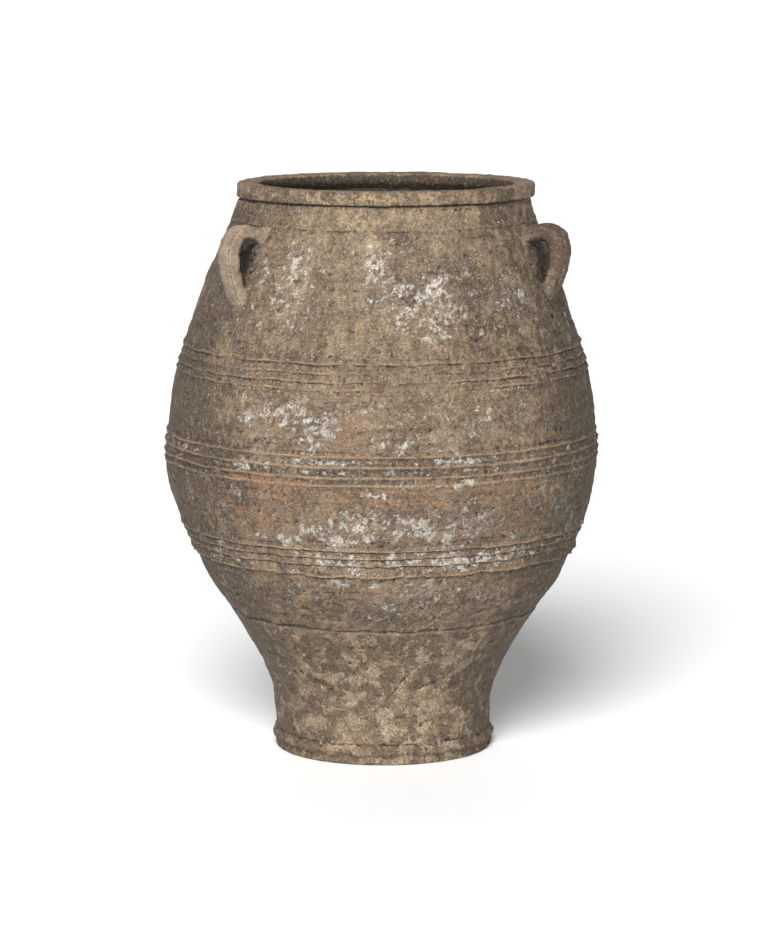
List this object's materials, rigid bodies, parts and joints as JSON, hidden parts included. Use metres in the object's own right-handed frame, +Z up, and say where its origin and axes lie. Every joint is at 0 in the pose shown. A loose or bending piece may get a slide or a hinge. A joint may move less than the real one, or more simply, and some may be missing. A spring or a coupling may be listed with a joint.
{
  "type": "amphora",
  "caption": "Tall wide-mouthed terracotta storage jar with a waisted foot, tooled ridges round the belly, shoulder strap handles and a wire seal loop.",
  "frame": {"origin": "middle of the underside, on the jar's axis", "axes": "+Z up along the jar's axis; the front of the jar faces -Y and +X is to its right seen from the front"},
  "size_m": [0.7298, 0.7298, 0.95],
  "materials": {
    "foot_clay": "matt terracotta under flaking lime crust",
    "belly_clay": "matt grey-brown weathered terracotta",
    "shoulder_clay": "matt taupe terracotta with lime flecks",
    "rim_clay": "matt tan terracotta, worn smooth on top",
    "ridge_clay": "matt terracotta, crests worn orange",
    "handle_clay": "matt terracotta worn by hands",
    "wire": "dull grey wire",
    "crimp": "bright squeezed metal"
  },
  "bodies": {
    "jar": {"base_disc": "foot_clay", "foot_ring": "foot_clay", "foot_wall": "foot_clay", "lower_belly": "belly_clay", "mid_belly": "belly_clay", "upper_belly": "belly_clay", "shoulder": "shoulder_clay", "neck": "shoulder_clay", "rim": "rim_clay", "band_lower": "ridge_clay", "band_middle": "ridge_clay", "band_upper": "ridge_clay", "handle_left": "handle_clay", "handle_right": "handle_clay", "handle_back": "handle_clay"},
    "seal": {"seal_wire": "wire", "seal_crimp": "crimp", "seal_tail": "wire"}
  },
  "joints": [
    {"name": "seal_swing", "type": "hinge", "parent": "jar", "child": "seal", "pos_m": [0.26332, -0.12, 0.809], "axis": [-0.4147, -0.91, 0], "range_deg": [0, 60]}
  ]
}
